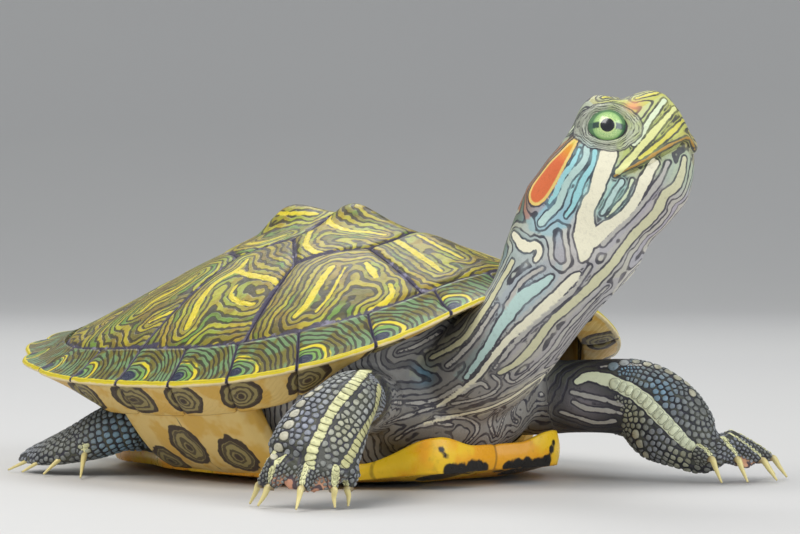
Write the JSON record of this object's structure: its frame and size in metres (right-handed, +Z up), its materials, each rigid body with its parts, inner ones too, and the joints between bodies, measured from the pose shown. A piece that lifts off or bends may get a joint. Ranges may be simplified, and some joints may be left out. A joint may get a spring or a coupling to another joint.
{
  "type": "red-eared slider turtle",
  "caption": "Young red-eared slider turtle, resting on its plastron with neck raised and turned, life-size still model.",
  "frame": {"origin": "middle of the bottom of the bounding box, on the floor", "axes": "+Z up, -Y the way the turtle's body faces, +X its left side"},
  "size_m": [0.0804, 0.102, 0.0492],
  "materials": {
    "scute": "smooth horn, olive and yellow-green with dark wavy lines",
    "rim": "smooth horn, green arcs above and yellow below with ringed dark spots",
    "plastron": "smooth horn, orange-yellow with black blotches",
    "head_skin": "fine striped skin and a smooth horny beak",
    "neck_skin": "soft wrinkled skin with cream stripes",
    "limb_skin": "charcoal scaly skin with a cream stripe",
    "eye": "wet eye with a yellow-green iris and a dark bar",
    "claw": "smooth pale horn"
  },
  "bodies": {
    "root": {"vertebral_1": "scute", "vertebral_2": "scute", "vertebral_3": "scute", "vertebral_4": "scute", "vertebral_5": "scute", "costal_right_1": "scute", "costal_left_1": "scute", "costal_right_2": "scute", "costal_left_2": "scute", "costal_right_3": "scute", "costal_left_3": "scute", "costal_right_4": "scute", "costal_left_4": "scute", "marginals_front": "rim", "marginals_right": "rim", "marginals_left": "rim", "marginals_rear": "rim", "upper_arm_right": "limb_skin", "forearm_right": "limb_skin", "forefoot_right": "limb_skin", "claw_forefoot_right_1": "claw", "claw_forefoot_right_2": "claw", "claw_forefoot_right_3": "claw", "claw_forefoot_right_4": "claw", "claw_forefoot_right_5": "claw", "upper_arm_left": "limb_skin", "forearm_left": "limb_skin", "forefoot_left": "limb_skin", "claw_forefoot_left_1": "claw", "claw_forefoot_left_2": "claw", "claw_forefoot_left_3": "claw", "claw_forefoot_left_4": "claw", "claw_forefoot_left_5": "claw", "thigh_right": "limb_skin", "shank_right": "limb_skin", "hindfoot_right": "limb_skin", "claw_hindfoot_right_1": "claw", "claw_hindfoot_right_2": "claw", "claw_hindfoot_right_3": "claw", "claw_hindfoot_right_4": "claw", "thigh_left": "limb_skin", "shank_left": "limb_skin", "hindfoot_left": "limb_skin", "claw_hindfoot_left_1": "claw", "claw_hindfoot_left_2": "claw", "claw_hindfoot_left_3": "claw", "claw_hindfoot_left_4": "claw", "head": "head_skin", "lower_jaw": "head_skin", "neck_upper": "neck_skin", "neck_lower": "neck_skin", "eye_right": "eye", "eye_left": "eye", "plastron": "plastron", "trunk": "limb_skin", "tail": "limb_skin"}
  },
  "joints": []
}
